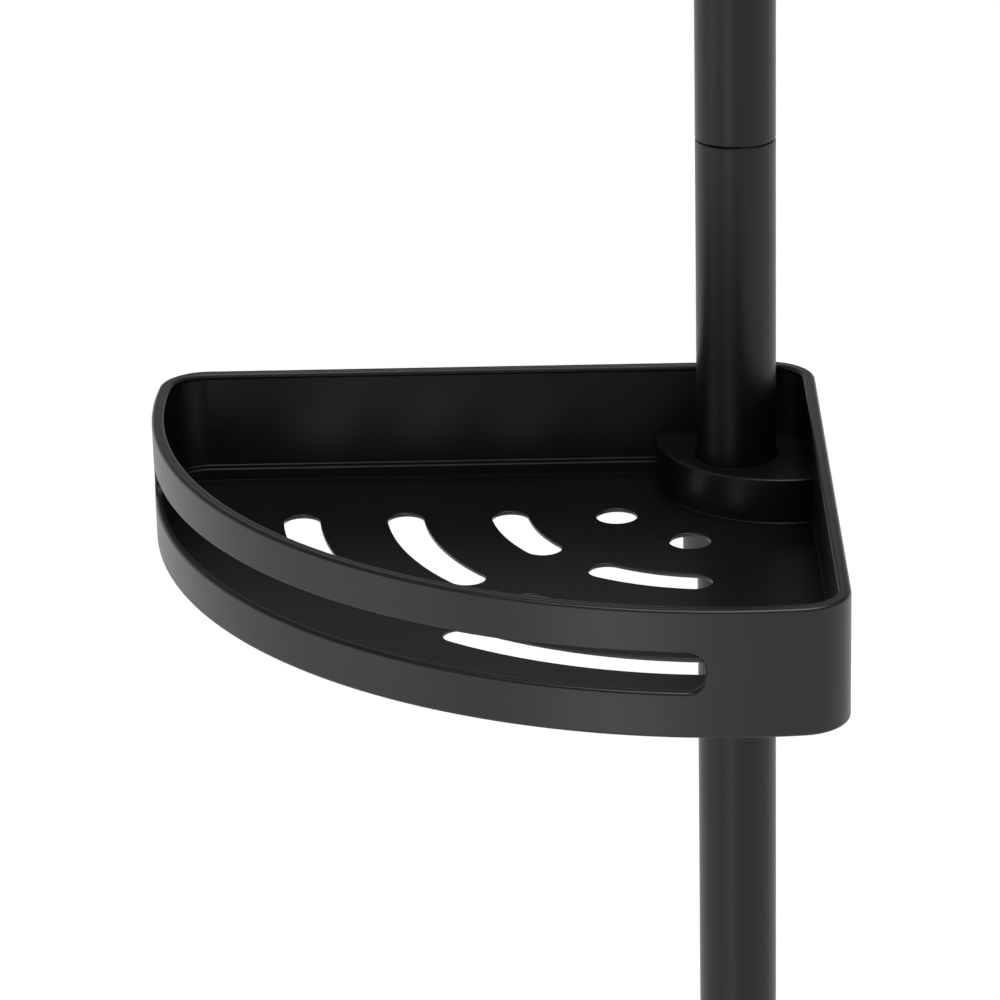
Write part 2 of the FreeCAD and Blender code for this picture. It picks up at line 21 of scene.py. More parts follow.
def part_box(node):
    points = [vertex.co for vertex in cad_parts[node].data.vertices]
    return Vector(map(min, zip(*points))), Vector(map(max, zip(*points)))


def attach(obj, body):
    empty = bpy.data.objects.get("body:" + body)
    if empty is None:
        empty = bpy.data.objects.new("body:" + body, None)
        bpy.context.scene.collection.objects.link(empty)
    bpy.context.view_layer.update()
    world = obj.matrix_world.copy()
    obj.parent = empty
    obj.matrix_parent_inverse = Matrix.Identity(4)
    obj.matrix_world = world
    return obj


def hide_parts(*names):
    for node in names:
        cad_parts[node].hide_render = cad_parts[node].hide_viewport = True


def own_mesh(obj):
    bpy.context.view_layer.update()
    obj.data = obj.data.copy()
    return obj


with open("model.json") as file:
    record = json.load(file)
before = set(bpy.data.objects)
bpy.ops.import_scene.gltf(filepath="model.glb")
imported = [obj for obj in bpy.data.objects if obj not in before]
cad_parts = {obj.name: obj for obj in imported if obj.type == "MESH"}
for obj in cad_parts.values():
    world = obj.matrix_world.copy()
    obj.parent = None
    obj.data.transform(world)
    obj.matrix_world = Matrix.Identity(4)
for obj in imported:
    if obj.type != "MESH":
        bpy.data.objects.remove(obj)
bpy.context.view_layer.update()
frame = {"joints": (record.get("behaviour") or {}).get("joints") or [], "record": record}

# %% [markdown]
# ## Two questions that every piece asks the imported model
#
# A piece needs to know which body it moves with, and where the plain piece that it stands for
# lies. The first comes from the record, and the second from the plain piece's own box, so
# nothing has to be fitted by eye.

# %% Bodies and places
MM = 0.001
BODIES = frame["record"]["behaviour"]["bodies"]
BODY_OF = {node: body for body, nodes in BODIES.items() for node in nodes}


def low(node):
    """The height of a plain piece's lowest point."""
    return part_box(node)[0].z


def high(node):
    """The height of a plain piece's highest point."""
    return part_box(node)[1].z


def reach(node):
    """The radius of a round piece on the pole's axis."""
    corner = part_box(node)[1]
    return max(corner.x, corner.y)


# %% [markdown]
# ## Outlines with round corners
#
# Nothing moulded, pressed or turned has a truly sharp edge, and it is the light caught by the
# small round that makes an edge look real. A bevel could be added to a finished mesh, but where
# three edges meet it often tears. Here the rounds are part of the outline from the start: each
# corner is a point and a radius, and one function swaps it for an arc.

# %% Round the corners of an outline
ARC_STEPS = 5


def unit(vector):
    """The vector at length 1."""
    return vector / np.linalg.norm(vector)


def heading(angle):
    """Directions of length 1 at these angles: (cos a, sin a)."""
    return np.stack([np.cos(angle), np.sin(angle)], -1)


def rounded(corners, closed=False):
    """An outline through corners (a, b, radius), with each corner rounded by its radius.

    A corner's arc starts and ends radius / tan(half angle) from the corner along its sides, and
    its centre is radius / sin(half angle) from the corner along the line that halves the angle.
    """
    corners = np.array(corners, float)
    outline = []
    for number, (a, b, radius) in enumerate(corners):
        point = np.array([a, b])
        at_end = not closed and number in (0, len(corners) - 1)
        if radius == 0 or at_end:
            outline.append(point[None])
            continue
        back = unit(corners[number - 1, :2] - point)
        ahead = unit(corners[(number + 1) % len(corners), :2] - point)
        half = math.acos(np.clip(back @ ahead, -1, 1)) / 2
        centre = point + unit(back + ahead) * radius / math.sin(half)
        start = point + back * radius / math.tan(half) - centre
        end = point + ahead * radius / math.tan(half) - centre
        first = math.atan2(start[1], start[0])
        sweep = (math.atan2(end[1], end[0]) - first + math.pi) % (2 * math.pi) - math.pi
        turn = first + sweep * np.linspace(0, 1, ARC_STEPS + 1)
        outline.append(centre + radius * heading(turn))
    return np.concatenate(outline)


SQUARE = [(0, 0, 1), (9, 0, 1), (9, 9, 1), (0, 9, 1)]
print("a square with round corners has", len(rounded(SQUARE, closed=True)), "points")

# %% [markdown]
# ## From a grid of points to a closed mesh
#
# Every surface here is a grid: rows are steps along an outline, and columns are steps round the
# pole or along an edge. The points are worked out as whole arrays, and the faces join each point
# to its neighbours. Points that fall together, as at a pole, are welded, and then all faces are
# turned outwards.
#
# Large flat faces beside narrow rounds need one more thing. Smooth shading shares the tilt of a
# round with the whole flat face, which then looks dished. Weighted normals let the largest face
# at each point decide, so a flat face stays flat and only the round bends the light.

# %% Grids, welding and shading
WELD = 0.0005 * MM
SHARP_ANGLE = math.radians(38)


def quads(rows, columns, wrap_rows=False, wrap_columns=True):
    """The four corners of each face of a grid of points numbered along its rows."""
    row = np.arange(rows if wrap_rows else rows - 1)[:, None]
    column = np.arange(columns if wrap_columns else columns - 1)[None, :]
    next_row = (row + 1) % rows
    next_column = (column + 1) % columns
    corners = [row * columns + column, row * columns + next_column,
               next_row * columns + next_column, next_row * columns + column]
    return np.stack(corners, -1).reshape(-1, 4).tolist()


def capped(rows, columns):
    """The faces of a grid, and one flat face each to close its first and its last row."""
    last = (rows - 1) * columns
    return quads(rows, columns) + [list(range(columns)), list(range(last, last + columns))]


def weld(mesh, outwards=True):
    """Joins points that fall together, and turns the faces outwards."""
    work = bmesh.new()
    work.from_mesh(mesh)
    bmesh.ops.remove_doubles(work, verts=work.verts, dist=WELD)
    if outwards:
        bmesh.ops.recalc_face_normals(work, faces=work.faces)
    work.to_mesh(mesh)
    work.free()
    return mesh


def solid(name, points, faces):
    """A closed mesh from an array of points in metres and a list of faces."""
    mesh = bpy.data.meshes.new(name)
    mesh.from_pydata(points.reshape(-1, 3).tolist(), [], faces)
    return weld(mesh)


def linked(name, data):
    """A new object in the scene for a mesh, a light or a camera."""
    thing = bpy.data.objects.new(name, data)
    bpy.context.scene.collection.objects.link(thing)
    return thing


def shown(name, mesh):
    """A mesh as an object in the scene, with smooth rounds and crisp edges."""
    mesh.name = name
    mesh.shade_smooth()
    mesh.set_sharp_from_angle(angle=SHARP_ANGLE)
    piece = linked(name, mesh)
    normals = piece.modifiers.new("flat faces stay flat", "WEIGHTED_NORMAL")
    normals.keep_sharp = True
    return piece


# %% [markdown]
# ## Adding and cutting
#
# A few shapes are easier as one solid minus another: an opening in a wall, or a pocket under a
# boss. Blender's exact Boolean does that cleanly when both solids are closed. The two meshes get
# objects only for as long as the cut takes.

# %% Solid arithmetic
def combined(mesh, tools, operation):
    """The mesh with each tool mesh joined to it (UNION) or cut from it (DIFFERENCE)."""
    target = linked("target", mesh)
    helpers = [linked("tool", tool) for tool in tools]
    for helper in helpers:
        step = target.modifiers.new("step", "BOOLEAN")
        step.solver = "EXACT"
        step.operation = operation
        step.object = helper
    graph = bpy.context.evaluated_depsgraph_get()
    result = bpy.data.meshes.new_from_object(target.evaluated_get(graph))
    for helper in [target, *helpers]:
        bpy.data.objects.remove(helper)
    return weld(result, outwards=False)


def open_edges(mesh):
    """How many edges do not have exactly two faces: none, on a closed mesh."""
    work = bmesh.new()
    work.from_mesh(mesh)
    count = sum(len(edge.link_faces) != 2 for edge in work.edges)
    work.free()
    return count


# %% [markdown]
# ## Writing a finish as arithmetic
#
# A shader is a small calculation, and it reads best as one. The class below wraps one socket, so
# that `0.4 + 0.1 * grain` adds the two Math nodes that work it out. Every other node comes from
# one method: it takes the node's type, its settings, and what goes into its sockets.

# %% Sockets that can be added and multiplied
class Wire:
    """A shader socket in a sum. Each operator adds the Math node that works it out. Sums and
    products don't depend on their order, so a number may come first."""

    def __init__(self, finish, socket):
        self.finish = finish
        self.socket = socket

    def math(self, operation, first, second):
        return self.finish.node("Math", {"operation": operation}, {0: first, 1: second})

    def __add__(self, other):
        return self.math("ADD", self, other)

    def __mul__(self, other):
        return self.math("MULTIPLY", self, other)

    __radd__ = __add__
    __rmul__ = __mul__


NOISE_ROUGHNESS = 0.55


class Finish:
    """A material whose nodes are made one at a time. The slot is the material's name."""

    def __init__(self, slot):
        self.slot = slot
        self.material = bpy.data.materials.new(slot)
        self.material.use_nodes = True
        self.tree = self.material.node_tree
        self.tree.nodes.clear()

    def node(self, kind, settings=None, sockets=None, output=0):
        """Adds a node: its settings first, then a value or a Wire for each named socket."""
        made = self.tree.nodes.new("ShaderNode" + kind)
        for name, value in (settings or {}).items():
            setattr(made, name, value)
        for name, value in (sockets or {}).items():
            if isinstance(value, Wire):
                self.tree.links.new(value.socket, made.inputs[name])
            else:
                made.inputs[name].default_value = value
        return Wire(self, made.outputs[output]) if made.outputs else None

    def noise(self, cell, detail=2.0, stretch=(1, 1, 1)):
        """Cloudy noise from 0 to 1 whose clouds are about one cell wide, in metres."""
        place = self.node("TexCoord", output="Object")
        point = self.node("Mapping", sockets={"Vector": place, "Scale": stretch})
        sockets = {"Vector": point, "Scale": 1 / cell, "Detail": detail,
                   "Roughness": NOISE_ROUGHNESS}
        return self.node("TexNoise", sockets=sockets)

    def between(self, dark, light, share):
        """A colour that goes from dark to light as the share goes from 0 to 1. The Mix node's
        colours are its sockets 6 and 7, and its mixed colour is its output 2."""
        sockets = {0: share, 6: (*dark, 1), 7: (*light, 1)}
        return self.node("Mix", {"data_type": "RGBA"}, sockets, output=2)

    def bump(self, height, depth):
        """The surface direction over a relief: a height of 0 to 1, times a depth in metres."""
        return self.node("Bump", sockets={"Height": height, "Distance": depth, "Strength": 1.0})

    def surface(self, **sockets):
        """Ends the material in one Principled shader with these sockets."""
        named = {name.replace("_", " "): value for name, value in sockets.items()}
        shader = self.node("BsdfPrincipled", sockets=named)
        self.node("OutputMaterial", sockets={"Surface": shader})
        print("finish", self.slot, "has", len(self.tree.nodes), "nodes")
        return self


# %% [markdown]
# ## Black moulded plastic for the trays
#
# The trays are injection moulded in a satin black plastic. The steel mould is finely etched, so
# the surface has a grain a third of a millimetre wide and far shallower, which spreads
# the highlights without showing as texture. Over a hand's width the gloss drifts a little where
# the melt cooled at different speeds. A plain grey with one roughness would miss both.

# %% The trays' finish
def tray_finish():
    """Etched satin black: a fine grain in the relief, and slow drifts in gloss and colour."""
    finish = Finish("tray_plastic")
    grain = finish.noise(cell=0.35 * MM, detail=3.0)
    flow = finish.noise(cell=42 * MM, stretch=(1, 1, 2.5))
    speck = finish.noise(cell=0.9 * MM, detail=1.0)
    colour = finish.between((0.0016, 0.0016, 0.0018), (0.0028, 0.0028, 0.0031), share=flow)
    return finish.surface(
        Base_Color=colour, Roughness=0.30 + 0.07 * flow + 0.05 * speck, Specular_IOR_Level=0.45,
        Normal=finish.bump(grain, depth=0.006 * MM))


TRAY_FINISH = tray_finish()

# %% [markdown]
# ## The other plastics
#
# The sleeves are moulded from a tougher, duller plastic than the trays, because they have to
# grip. The cups at the pole's ends come from a smoother mould. The threaded inserts and the
# spring's seat are natural nylon, which is milky and lets a little light in.

# %% Sleeves, cups and inserts
def grained(slot, cell, relief, drift, dark, light, rough, vary, detail=2.0, stretch=(1, 1, 1),
            drift_detail=2.0, dusty=False, **more):
    """A surface with a fine grain and a slow drift. Relief = relief * grain, roughness = rough +
    vary * grain, and the drift takes the colour from dark to light, or grain * drift if dusty."""
    finish = Finish(slot)
    fine = finish.noise(cell, detail, stretch)
    slow = finish.noise(drift, drift_detail)
    colour = finish.between(dark, light, fine * slow if dusty else slow)
    return finish.surface(Base_Color=colour, Roughness=rough + vary * fine,
                          Normal=finish.bump(fine, relief), **more)


# Dull black, with a coarser grain than the trays.
SLEEVE_FINISH = grained(
    "sleeve_plastic", cell=0.5 * MM, detail=3.0, relief=0.012 * MM, drift=14 * MM,
    dark=(0.010, 0.010, 0.0105), light=(0.016, 0.016, 0.0165), rough=0.46, vary=0.1)

# Smoother black, with faint drag marks up the draw of the mould.
CUP_FINISH = grained(
    "cup_plastic", cell=1.2 * MM, stretch=(1, 1, 0.08), relief=0.008 * MM, drift=25 * MM,
    dark=(0.009, 0.009, 0.0095), light=(0.014, 0.014, 0.0145), rough=0.3, vary=0.1)

# Milky natural nylon, a little yellow, with a faint cloudiness inside.
INSERT_FINISH = grained(
    "insert_plastic", cell=0.6 * MM, relief=0.01 * MM, drift=6 * MM, drift_detail=3.0,
    dark=(0.62, 0.57, 0.46), light=(0.74, 0.70, 0.60), rough=0.38, vary=0.12,
    Subsurface_Weight=0.25, Subsurface_Radius=(0.004, 0.003, 0.002), Subsurface_Scale=0.5)

# %% [markdown]
# ## Powder coat, rubber and spring steel
#
# The steel tubes are powder coated. The powder melts into a skin that is never quite level: it
# has a soft swell about two millimetres wide, called orange peel, with a finer satin grain on
# it. Rubber is duller still and shows dust as pale specks. The spring is drawn wire, so its
# scratches run along it, and the pattern follows the wire through the piece's own UV map.

# %% Tubes, pads and spring
def coat_finish():
    """Satin powder coat: orange peel under a fine grain."""
    finish = Finish("pole_coating")
    peel = finish.noise(cell=2.2 * MM, detail=1.0)
    grain = finish.noise(cell=0.3 * MM)
    drift = finish.noise(cell=60 * MM, stretch=(1, 1, 0.4))
    colour = finish.between((0.0016, 0.0016, 0.0018), (0.0028, 0.0028, 0.0030), share=drift)
    return finish.surface(
        Base_Color=colour, Roughness=0.32 + 0.06 * drift + 0.05 * grain, Specular_IOR_Level=0.34,
        Normal=finish.bump(0.75 * peel + 0.25 * grain, depth=0.012 * MM))


def wire_finish():
    """Drawn spring steel, with fine scratches along the wire."""
    finish = Finish("spring_steel")
    along = finish.node("UVMap", {"uv_map": "along_wire"})
    stretched = finish.node("Mapping", sockets={"Vector": along, "Scale": (40, 1.5, 1)})
    scratch = finish.node("TexNoise", sockets={"Vector": stretched, "Scale": 9.0, "Detail": 3.0})
    colour = finish.between((0.36, 0.35, 0.33), (0.56, 0.55, 0.53), share=scratch)
    return finish.surface(Base_Color=colour, Metallic=1.0, Roughness=0.24 + 0.2 * scratch,
                          Normal=finish.bump(scratch, depth=0.004 * MM))


COAT_FINISH = coat_finish()

# Matt black rubber, greyer where dust sits in its grain.
RUBBER_FINISH = grained(
    "pad_rubber", cell=0.7 * MM, detail=4.0, relief=0.03 * MM, drift=9 * MM, drift_detail=3.0,
    dusty=True, dark=(0.012, 0.012, 0.012), light=(0.034, 0.033, 0.031), rough=0.66, vary=0.2)

WIRE_FINISH = wire_finish()

# %% [markdown]
# ## Putting a piece in the model
#
# Every finished piece stands for one plain piece, rides on the same body, and takes the finish
# that it is given.

# %% Stand for a plain piece
def stands_for(node, mesh, finish, way):
    """Shows a mesh in place of a plain piece, named after it and after the way it is made."""
    piece = shown(node + "_" + way, mesh)
    mesh.materials.clear()
    mesh.materials.append(finish.material)
    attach(piece, BODY_OF[node])
    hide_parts(node)
    print(piece.name, len(mesh.polygons), "faces,", open_edges(mesh), "open edges")
    return piece


# %% [markdown]
# ## Turned pieces
#
# The tubes, cups, pads and plugs are all round about the pole's axis. Each is a section, a
# radius and a height for each point, carried once round the axis. Spinning the section by hand
# would give the same shape, but a formula also takes a radius that changes on the way round,
# which the screw threads need.

# %% Carry a section round the pole
ROUND_COLUMNS = 112


def turned(name, radius, height, closed=False, columns=ROUND_COLUMNS):
    """A section turned about the pole: x = radius cos t, y = radius sin t, z = height.

    The radius is one number for each row, or a whole grid of them, rows by columns.
    """
    t = np.arange(columns) * 2 * np.pi / columns
    radius = np.asarray(radius, float).reshape(len(height), -1)
    grid = np.broadcast_to(radius, (len(height), columns))
    tall = np.broadcast_to(np.asarray(height, float)[:, None], grid.shape)
    points = np.stack([grid * np.cos(t), grid * np.sin(t), tall], -1)
    return solid(name, points, quads(len(height), columns, wrap_rows=closed))


def turned_outline(name, corners, closed=False, columns=ROUND_COLUMNS):
    """Corners (radius, height, round), rounded and turned about the pole."""
    outline = rounded(corners, closed)
    return turned(name, outline[:, 0], outline[:, 1], closed, columns)


# %% [markdown]
# ### The steel tubes
#
# Three tubes of the same length screw together, and a thinner one slides out of the top. A cut
# tube is deburred, and the coating rounds its edge further, so where two sections meet there is
# a fine dark groove round the pole. The section goes up the outside and back down the bore.

# %% Pole sections and the top tube
TUBE_WALL = 1.0 * MM
TUBE_END_ROUND = 0.7 * MM
TUBE_BORE_ROUND = 0.25 * MM


def tube(node):
    """A tube where the plain one is, with its ends rounded outside and inside."""
    foot, top, outer = low(node), high(node), reach(node)
    bore = outer - TUBE_WALL
    return turned_outline(node, [
        (outer, foot, TUBE_END_ROUND), (outer, top, TUBE_END_ROUND),
        (bore, top, TUBE_BORE_ROUND), (bore, foot, TUBE_BORE_ROUND)], closed=True)


for node in ("lower_tube", "middle_tube", "upper_tube", "top_tube"):
    stands_for(node, tube(node), COAT_FINISH, "coated")

# %% [markdown]
# ### The screwed joints
#
# Each joint has a threaded stud pressed into one tube and a socket pressed into the next. The
# plain pieces have level rings for the thread. A real thread climbs: its height above the root
# depends on how far up and how far round the point is, so the radius is a full grid. The thread
# fades in and out over its first and last turn, as a moulded one does.

# %% Threaded studs
STUD_ROOT = 7.0 * MM
STUD_THREAD_DEPTH = 1.0 * MM
STUD_PITCH = 2.0 * MM
STUD_ROWS_PER_PITCH = 10
THREAD_STEEPNESS = 1.5
THREAD_GROOVE = 0.25
INSERT_ROUND = 0.5 * MM
INSERT_DEPTH = 30 * MM


def thread_grid(heights, columns, foot, top):
    """The radius of a thread: the root plus a flat-topped wave of the pitch that climbs one
    pitch in each turn, faded over one pitch at its foot and at its top."""
    turn = np.arange(columns)[None, :] / columns
    climb = (heights[:, None] - foot) / STUD_PITCH - turn
    wave = 1 - np.abs(2 * (climb % 1) - 1)
    crest = np.clip(THREAD_STEEPNESS * wave - THREAD_GROOVE, 0, 1)
    fade = np.clip(np.minimum(heights - foot, top - heights) / STUD_PITCH, 0, 1)
    return STUD_ROOT + STUD_THREAD_DEPTH * crest * fade[:, None]


def stud(node):
    """A press-in plug with a threaded stud on top, as one turned surface."""
    foot = low(node)
    seam = foot + INSERT_DEPTH
    top = high(node)
    outer = reach(node)
    plug = rounded([(0, foot, 0), (outer, foot, INSERT_ROUND), (outer, seam, INSERT_ROUND),
                    (STUD_ROOT, seam, 0)])
    rows = round((top - seam) / STUD_PITCH * STUD_ROWS_PER_PITCH)
    heights = np.linspace(seam, top, rows + 1)[1:]
    thread = thread_grid(heights, ROUND_COLUMNS, seam, top)
    whole = np.broadcast_to(plug[:, :1], (len(plug), ROUND_COLUMNS))
    tip = np.zeros((1, ROUND_COLUMNS))
    radius = np.concatenate([whole, thread, tip])
    return turned(node, radius, np.concatenate([plug[:, 1], heights, [top]]))


for node in ("lower_tube_stud", "middle_tube_stud"):
    stands_for(node, stud(node), INSERT_FINISH, "threaded")

# %% [markdown]
# ### Sockets, bush, spring seat and follower
#
# The sockets take the studs. The bush closes the mouth of the upper tube and guides the thin
# tube in it. The spring stands on a plug with a short peg that centres it, and pushes up on a
# follower under the thin tube. All are plain turned parts, so each is one outline.

# %% Plugs and guides inside the pole
SOCKET_BORE = 8.15 * MM
SOCKET_ROOF = 5.9 * MM
BUSH_BORE = 9.58 * MM
BUSH_FLANGE_ROUND = 1.0 * MM
SEAT_PEG_HEIGHT = 10 * MM
SEAT_PEG_FOOT = 8.3 * MM
SEAT_PEG_TIP = 7.3 * MM
FOLLOWER_HEAD_HEIGHT = 16 * MM
FOLLOWER_SPIGOT = 8.45 * MM
EDGE = 0.5 * MM


def socket(node):
    """A plug with a blind bore from below."""
    foot, top, outer = low(node), high(node), reach(node)
    roof = top - SOCKET_ROOF
    return turned_outline(node, [
        (0, roof, 0), (SOCKET_BORE, roof, EDGE), (SOCKET_BORE, foot, EDGE), (outer, foot, EDGE),
        (outer, top, EDGE), (0, top, 0)])


def bush(node):
    """A sleeve inside the tube's mouth with a round-edged flange on top of it."""
    foot, top, outer = low(node), high(node), reach(node)
    seat = high("upper_tube")
    fit = reach("lower_tube_stud")
    return turned_outline(node, [
        (BUSH_BORE, foot, EDGE), (fit, foot, EDGE), (fit, seat, 0), (outer, seat, EDGE / 2),
        (outer, top, BUSH_FLANGE_ROUND), (BUSH_BORE, top, EDGE)], closed=True)


def seat_plug(node):
    """A plug with a tapered peg that centres the spring."""
    foot, top, outer = low(node), high(node), reach(node)
    ledge = top - SEAT_PEG_HEIGHT
    return turned_outline(node, [
        (0, foot, 0), (outer, foot, EDGE), (outer, ledge, EDGE), (SEAT_PEG_FOOT, ledge, EDGE),
        (SEAT_PEG_TIP, top, 2 * EDGE), (0, top, 0)])


def follower(node):
    """A sliding head with a spigot that fills the foot of the thin tube."""
    foot, top, outer = low(node), high(node), reach(node)
    shoulder = foot + FOLLOWER_HEAD_HEIGHT
    return turned_outline(node, [
        (0, foot, 0), (outer, foot, 2 * EDGE), (outer, shoulder, EDGE),
        (FOLLOWER_SPIGOT, shoulder, EDGE / 2), (FOLLOWER_SPIGOT, top, 2 * EDGE), (0, top, 0)])


for node in ("middle_tube_socket", "upper_tube_socket"):
    stands_for(node, socket(node), INSERT_FINISH, "moulded")
stands_for("guide_bush", bush("guide_bush"), CUP_FINISH, "moulded")
stands_for("spring_seat", seat_plug("spring_seat"), INSERT_FINISH, "moulded")
stands_for("spring_follower", follower("spring_follower"), INSERT_FINISH, "moulded")

# %% [markdown]
# ### The spring
#
# A compression spring is wire wound at an even pitch, with the last turn at each end closed down
# flat so that it stands straight. The wire's centre line is a helix whose height is a function
# of the turn, and a small circle is carried along it. When the pole's top is pressed in, the
# spring shortens between its seat and the follower; the share of its length that the press
# takes is worked out, but the spring is not squashed with that joint.

# %% Wind the spring
WIRE_RADIUS = 0.9 * MM
SPRING_TURNS = 16
CLOSED_TURNS = 1.0
STEPS_PER_TURN = 40
WIRE_SIDES = 12


def wound(node):
    """Wire on a helix. Its height is the turn times the wire's thickness over the closed end
    turns, and rises evenly between them. Each point is the centre line plus the wire's radius
    times (cos a) outwards and (sin a) upwards."""
    turns = np.linspace(0, SPRING_TURNS, SPRING_TURNS * STEPS_PER_TURN + 1)
    foot = low(node) + WIRE_RADIUS
    length = high(node) - low(node) - 2 * WIRE_RADIUS
    closed_rise = 2 * WIRE_RADIUS * CLOSED_TURNS
    knots = [0, CLOSED_TURNS, SPRING_TURNS - CLOSED_TURNS, SPRING_TURNS]
    height = foot + np.interp(turns, knots, [0, closed_rise, length - closed_rise, length])
    mean = reach(node) - WIRE_RADIUS
    around = np.arange(WIRE_SIDES) * 2 * np.pi / WIRE_SIDES
    radius = mean + WIRE_RADIUS * np.cos(around)[None, :]
    turn = 2 * np.pi * turns[:, None]
    tall = height[:, None] + WIRE_RADIUS * np.sin(around)[None, :]
    points = np.stack([radius * np.cos(turn), radius * np.sin(turn), tall], -1)
    mesh = solid(node, points, capped(len(turns), WIRE_SIDES))
    along = mesh.uv_layers.new(name="along_wire")
    corner = np.zeros(len(mesh.loops), int)
    mesh.loops.foreach_get("vertex_index", corner)
    row, side = np.divmod(corner, WIRE_SIDES)
    along.data.foreach_set("uv", np.stack([side / WIRE_SIDES, row / STEPS_PER_TURN], -1).ravel())
    return mesh


spring = stands_for("tension_spring", wound("tension_spring"), WIRE_FINISH, "wound")
spring_length = high("tension_spring") - low("tension_spring")
press = next(joint for joint in frame["joints"] if joint["name"] == "top_tube_press")
1 - max(press["range_m"]) / spring_length
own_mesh(spring)
print("spring", round(spring_length, 4), "m long at rest")

# %% [markdown]
# ### Pads and cups
#
# The pole ends in two rubber pads, and a moulded cup stands in each. A pad has rings cut in its
# face so that it grips wet tile, and a lip that holds the cup. Both pairs are the same shapes,
# one way up at the floor and turned over at the ceiling, so one function draws each section and
# a flag turns it over.

# %% Rubber pads
PAD_FLOOR = 5.0 * MM
PAD_LIP_WALL = 4.0 * MM
PAD_EDGE_ROUND = 1.5 * MM
PAD_GROOVE_WIDTH = 2.5 * MM
PAD_GROOVE_DEPTH = 1.2 * MM
PAD_GROOVE_RADII = (12 * MM, 19 * MM, 26 * MM)
PAD_GROOVE_ROUND = 0.4 * MM


def standing(node, outline, turned_over):
    """An outline drawn upwards from 0, stood on a plain piece's foot, or hung from its top."""
    height = high(node) - outline[:, 1] if turned_over else low(node) + outline[:, 1]
    return turned(node, outline[:, 0], height)


def pad(node, turned_over=False):
    """A disc with a lip, and a ring groove in its face at each groove radius."""
    outer, top = reach(node), high(node) - low(node)
    face = [(0, 0, 0)]
    for radius in PAD_GROOVE_RADII:
        near, far = radius - PAD_GROOVE_WIDTH / 2, radius + PAD_GROOVE_WIDTH / 2
        face += [(near, 0, PAD_GROOVE_ROUND), (near, PAD_GROOVE_DEPTH, PAD_GROOVE_ROUND),
                 (far, PAD_GROOVE_DEPTH, PAD_GROOVE_ROUND), (far, 0, PAD_GROOVE_ROUND)]
    lip = [(outer, 0, PAD_EDGE_ROUND / 2), (outer, top, PAD_EDGE_ROUND),
           (outer - PAD_LIP_WALL, top, PAD_EDGE_ROUND), (outer - PAD_LIP_WALL, PAD_FLOOR, EDGE / 2),
           (0, PAD_FLOOR, 0)]
    return standing(node, rounded(face + lip), turned_over)


stands_for("floor_pad", pad("floor_pad"), RUBBER_FINISH, "rubber")
stands_for("ceiling_pad", pad("ceiling_pad", turned_over=True), RUBBER_FINISH, "rubber")

# %% End cups
CUP_FLANGE_HEIGHT = 4.0 * MM
CUP_CONE_HEIGHT = 16.0 * MM
CUP_WALL = 4.0 * MM
CUP_EDGE_ROUND = 1.2 * MM
CUP_WAIST_ROUND = 3.0 * MM
CUP_BORE_GAP = 0.05 * MM


def cup(node, held, turned_over=False):
    """A flange, a cone and a collar, with a blind bore for the tube that is held in it."""
    outer, top = reach(node), high(node) - low(node)
    collar = reach(held) + CUP_WALL
    bore = reach(held) + CUP_BORE_GAP
    flange = CUP_FLANGE_HEIGHT
    outline = [(0, 0, 0), (outer, 0, EDGE), (outer, flange, EDGE),
               (outer - CUP_EDGE_ROUND, flange, EDGE / 2),
               (collar, flange + CUP_CONE_HEIGHT, CUP_WAIST_ROUND), (collar, top, CUP_EDGE_ROUND),
               (bore, top, EDGE), (bore, flange, EDGE / 2), (0, flange, 0)]
    return standing(node, rounded(outline), turned_over)


stands_for("foot_cup", cup("foot_cup", "lower_tube"), CUP_FINISH, "moulded")
stands_for("ceiling_cup", cup("ceiling_cup", "top_tube", turned_over=True), CUP_FINISH, "moulded")

# %% [markdown]
# ## The trays
#
# A tray is a quarter round: two straight walls that meet in the room's corner, and a round front.
# Its wall has the same section all the way round, so the wall and floor are one section carried
# along the tray's outline. The outline is four arcs, and the straight walls are what joins them.
# Moving in from the outline along its own directions keeps every arc's centre, so the section
# fits each corner with no gaps.

# %% The tray's outline
TRAY_HEIGHT = 39 * MM
WALL_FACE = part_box("tray_2")[1].x
FRONT_RADIUS = 178 * MM
ARC_CENTRE = -5 * MM
SIDE_CORNER = 15 * MM
BACK_CORNER = 16 * MM
CORNER_STEPS = 16
FRONT_STEPS = 120
DIAGONAL = math.radians(225)


def arc_of(centre, radius, first, last, steps):
    """Points on an arc and the directions straight out from its centre."""
    angle = np.linspace(first, last, steps + 1)
    out = heading(angle)
    return np.asarray(centre) + radius * out, out


def tray_outline():
    """The four arcs, anticlockwise from above: left corner, front, right corner, back corner.
    A side corner touches its wall and lies inside the front arc, which gives its centre."""
    across = WALL_FACE - SIDE_CORNER
    gap = FRONT_RADIUS - SIDE_CORNER
    along = ARC_CENTRE - math.sqrt(gap ** 2 - (across - ARC_CENTRE) ** 2)
    meet = math.pi - math.asin((across - ARC_CENTRE) / gap)
    mirrored = 2 * DIAGONAL - meet
    back = WALL_FACE - BACK_CORNER
    arcs = [
        arc_of((along, across), SIDE_CORNER, math.pi / 2, meet, CORNER_STEPS),
        arc_of((ARC_CENTRE, ARC_CENTRE), FRONT_RADIUS, meet, mirrored, FRONT_STEPS),
        arc_of((across, along), SIDE_CORNER, mirrored, 2 * math.pi, CORNER_STEPS),
        arc_of((back, back), BACK_CORNER, 0, math.pi / 2, CORNER_STEPS),
    ]
    return np.concatenate([p for p, _ in arcs]), np.concatenate([d for _, d in arcs])


OUTLINE, OUTWARD = tray_outline()
print("tray outline:", len(OUTLINE), "points")

# %% [markdown]
# ### The wall's section
#
# From the underside out: a short skirt, the outer face, and a rim that swells inwards into a
# bead with a slight dip along its top. Below the bead the wall is hollowed back, and near the
# floor it steps in twice. Those steps are what draws the two fine lines along the foot of the
# wall. Each corner gives how far in from the outline it lies, its height, and its round.

